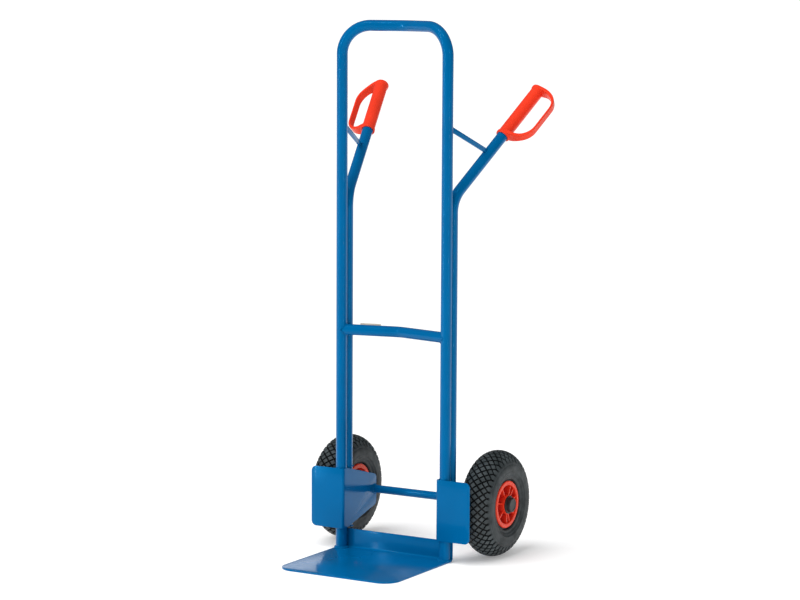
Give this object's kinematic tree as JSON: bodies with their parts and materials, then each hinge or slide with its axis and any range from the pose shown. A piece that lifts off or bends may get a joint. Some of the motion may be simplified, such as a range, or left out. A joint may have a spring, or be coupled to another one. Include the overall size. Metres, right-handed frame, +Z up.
{
  "type": "hand truck",
  "caption": "Two-wheeled tubular hand truck with a tall hoop, toe plate, folded wheel guards, bent-back handles with hand guards, and pneumatic wheels.",
  "frame": {"origin": "on the floor, on the centre plane, under the front face of the hoop's legs", "axes": "+X to the truck's right seen from the front, +Y to the back (towards the handles), +Z up"},
  "size_m": [0.559, 0.6067, 1.3001],
  "materials": {
    "blue_paint": "gloss powder coat",
    "red_plastic": "satin moulded",
    "black_plastic": "satin moulded",
    "tyre": "matte rubber",
    "butyl": "matte rubber",
    "zinc": "zinc plated",
    "steel": "ground",
    "cage": "natural nylon",
    "plate": "satin, blank"
  },
  "bodies": {
    "frame": {"hoop": "blue_paint", "crossbar": "blue_paint", "rating_plate": "plate", "handle_tube_left": "blue_paint", "handle_tube_right": "blue_paint", "strut_left": "blue_paint", "strut_right": "blue_paint", "grip_left": "red_plastic", "grip_right": "red_plastic", "wheel_guard_left": "blue_paint", "wheel_guard_right": "blue_paint", "toe_plate": "blue_paint", "axle": "blue_paint", "axle_spacers": "zinc", "axle_washers": "zinc", "axle_clips": "steel"},
    "wheel_left": {"tyre_left": "tyre", "inner_tube_left": "butyl", "valve_left": "butyl", "rim_outer_left": "red_plastic", "rim_inner_left": "red_plastic", "rim_screws_left": "zinc", "bearing_sleeve_left": "steel", "roller_cage_left": "cage", "rollers_left": "steel", "hub_cap_left": "black_plastic"},
    "wheel_right": {"tyre_right": "tyre", "inner_tube_right": "butyl", "valve_right": "butyl", "rim_outer_right": "red_plastic", "rim_inner_right": "red_plastic", "rim_screws_right": "zinc", "bearing_sleeve_right": "steel", "roller_cage_right": "cage", "rollers_right": "steel", "hub_cap_right": "black_plastic"}
  },
  "joints": [
    {"name": "wheel_left_spin", "type": "hinge", "parent": "frame", "child": "wheel_left", "pos_m": [-0.212, 0.1465, 0.13], "axis": [1, 0, 0], "continuous": true},
    {"name": "wheel_right_spin", "type": "hinge", "parent": "frame", "child": "wheel_right", "pos_m": [0.212, 0.1465, 0.13], "axis": [1, 0, 0], "continuous": true}
  ]
}
